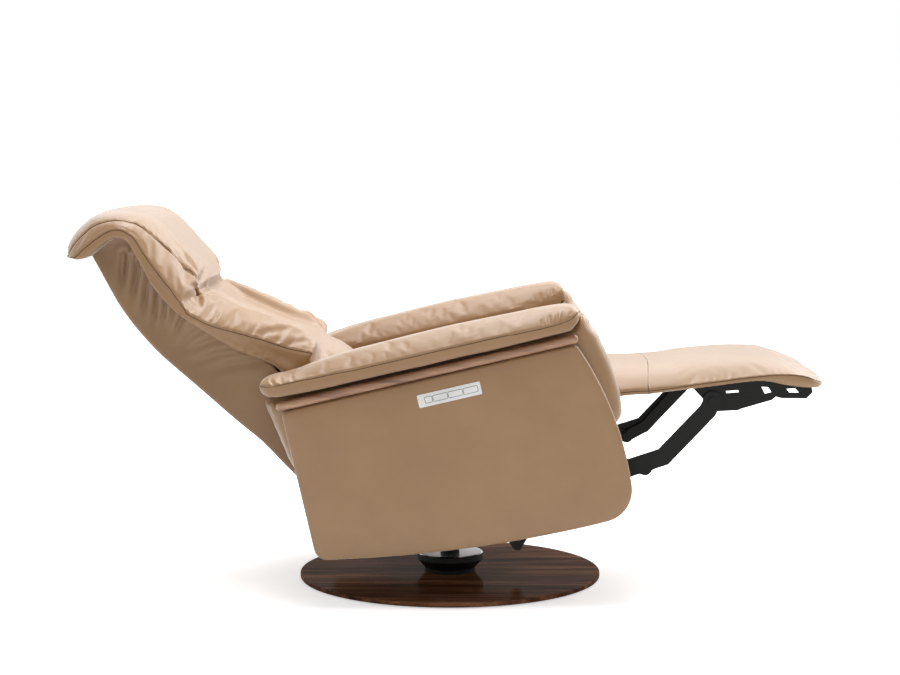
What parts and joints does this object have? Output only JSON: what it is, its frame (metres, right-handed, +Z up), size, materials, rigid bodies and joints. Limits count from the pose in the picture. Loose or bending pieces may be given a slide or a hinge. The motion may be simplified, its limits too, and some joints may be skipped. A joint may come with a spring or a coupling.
{
  "type": "recliner armchair",
  "caption": "Powered swivel recliner in leather with walnut trim, laid back on a round walnut base, its footrest out on a lever linkage.",
  "frame": {"origin": "centre of the underside of the round base, on the swivel axis, at floor level", "axes": "+Z up, +X the way the sitter faces (towards the footrest), +Y to the sitter's left, so the controls are at -Y"},
  "size_m": [1.5872, 0.74, 0.814],
  "materials": {
    "leather": "smooth semi-aniline hide, fine grain, low sheen",
    "walnut": "walnut veneer, satin lacquer",
    "black_metal": "black powder coat, fine texture",
    "bright_metal": "brushed and polished steel",
    "zinc_steel": "zinc-plated steel",
    "ballast_steel": "mill-finish steel plate",
    "liner_felt": "dark felt",
    "bush_plastic": "acetal",
    "black_plastic": "moulded, finely textured",
    "timber": "plain beech",
    "control_silver": "pale grey, satin",
    "button_grey": "pale grey, matt"
  },
  "bodies": {
    "base": {"floor_liner": "liner_felt", "ballast_plate": "ballast_steel", "base_disc": "walnut", "hub_flange": "black_metal", "hub_ring": "bright_metal", "column": "black_metal", "hub_screws": "zinc_steel", "thrust_washer": "bright_metal", "retaining_nut": "zinc_steel"},
    "carrier": {"swivel_hub": "zinc_steel", "swivel_bush": "bush_plastic", "carrier_plate": "black_metal", "carrier_ears": "black_metal", "tilt_pins": "zinc_steel", "tilt_actuator": "black_metal"},
    "tilt_rod": {"tilt_rod": "bright_metal"},
    "seat": {"chassis_plate_right": "black_metal", "chassis_plate_left": "black_metal", "cross_tubes": "black_metal", "drive_rails": "black_metal", "foot_drive": "black_plastic", "back_actuator": "black_plastic", "control_box": "black_plastic", "seat_side_rails": "timber", "seat_end_rails": "timber", "seat_springs": "zinc_steel", "seat_cushion": "leather", "arm_core_right": "leather", "arm_core_left": "leather", "side_panel_right": "leather", "side_panel_left": "leather", "arm_trim_right": "walnut", "arm_trim_left": "walnut", "arm_pad_right": "leather", "arm_pad_left": "leather", "control_plate": "control_silver", "switch_unit": "black_plastic", "seat_flap": "leather"},
    "back_rod": {"back_rod": "bright_metal"},
    "drive_link": {"torque_tube": "black_metal", "drive_links": "black_metal"},
    "rear_link": {"rear_links": "black_metal"},
    "outer_lever": {"outer_lever_right": "black_metal", "outer_lever_left": "black_metal"},
    "inner_lever": {"inner_levers": "black_metal"},
    "footrest": {"foot_brackets": "black_metal", "foot_board": "leather", "foot_cushion": "leather"},
    "back": {"back_members": "black_metal", "back_tubes": "black_metal", "back_springs": "zinc_steel", "back_shell": "leather", "back_cushion": "leather"},
    "head": {"head_frame": "black_metal", "head_shell": "leather", "head_cushion": "leather"},
    "button_1": {"button_1": "button_grey"},
    "button_2": {"button_2": "button_grey"},
    "button_3": {"button_3": "button_grey"},
    "button_4": {"button_4": "button_grey"}
  },
  "joints": [
    {"name": "swivel", "type": "hinge", "parent": "base", "child": "carrier", "pos_m": [0, 0, 0.1], "axis": [0, 0, 1], "continuous": true},
    {"name": "seat_tilt", "type": "hinge", "parent": "carrier", "child": "seat", "pos_m": [0.02, 0, 0.2], "axis": [0, 1, 0], "range_deg": [0, 13]},
    {"name": "tilt_rod_slide", "type": "slide", "parent": "carrier", "child": "tilt_rod", "axis": [0, 0, 1], "range_m": [-0.02945, 0]},
    {"name": "back_recline", "type": "hinge", "parent": "seat", "child": "back", "pos_m": [-0.23935, 0, 0.27868], "axis": [0, 1, 0], "range_deg": [0, 32]},
    {"name": "back_rod_slide", "type": "slide", "parent": "seat", "child": "back_rod", "axis": [0.9744, 0, 0.225], "range_m": [-0.04688, 0]},
    {"name": "head_tilt", "type": "hinge", "parent": "back", "child": "head", "pos_m": [-0.5434, 0, 0.62516], "axis": [0, 1, 0], "range_deg": [0, 28]},
    {"name": "footrest_fold", "type": "hinge", "parent": "seat", "child": "drive_link", "pos_m": [0.22071, 0, 0.37976], "axis": [0, 1, 0], "range_deg": [0, 83.5], "deforming": ["seat_flap"]},
    {"name": "rear_link_turn", "type": "hinge", "parent": "seat", "child": "rear_link", "pos_m": [0.16225, 0, 0.36626], "axis": [0, 1, 0], "range_deg": [0, 83.5]},
    {"name": "outer_lever_turn", "type": "hinge", "parent": "drive_link", "child": "outer_lever", "pos_m": [0.35545, 0, 0.28453], "axis": [0, 1, 0], "range_deg": [-83.5, 0]},
    {"name": "inner_lever_turn", "type": "hinge", "parent": "drive_link", "child": "inner_lever", "pos_m": [0.4077, 0, 0.27606], "axis": [0, 1, 0], "range_deg": [-83.5, 0]},
    {"name": "footrest_turn", "type": "hinge", "parent": "outer_lever", "child": "footrest", "pos_m": [0.54645, 0, 0.41801], "axis": [0, 1, 0], "range_deg": [0, 83.5]},
    {"name": "button_1_press", "type": "slide", "parent": "seat", "child": "button_1", "axis": [0, 1, 0], "range_m": [0, 0.0012], "stiffness_N_per_m": 700, "springref_m": -0.0005},
    {"name": "button_2_press", "type": "slide", "parent": "seat", "child": "button_2", "axis": [0, 1, 0], "range_m": [0, 0.0012], "stiffness_N_per_m": 700, "springref_m": -0.0005},
    {"name": "button_3_press", "type": "slide", "parent": "seat", "child": "button_3", "axis": [0, 1, 0], "range_m": [0, 0.0012], "stiffness_N_per_m": 700, "springref_m": -0.0005},
    {"name": "button_4_press", "type": "slide", "parent": "seat", "child": "button_4", "axis": [0, 1, 0], "range_m": [0, 0.0012], "stiffness_N_per_m": 700, "springref_m": -0.0005}
  ],
  "couplings": [
    {"joint": "tilt_rod_slide", "follows": "seat_tilt", "m_per_rad": -0.12972},
    {"joint": "back_rod_slide", "follows": "back_recline", "m_per_rad": -0.0839},
    {"joint": "rear_link_turn", "follows": "footrest_fold", "ratio": 1},
    {"joint": "outer_lever_turn", "follows": "footrest_fold", "ratio": -1},
    {"joint": "inner_lever_turn", "follows": "footrest_fold", "ratio": -1},
    {"joint": "footrest_turn", "follows": "footrest_fold", "ratio": 1}
  ]
}
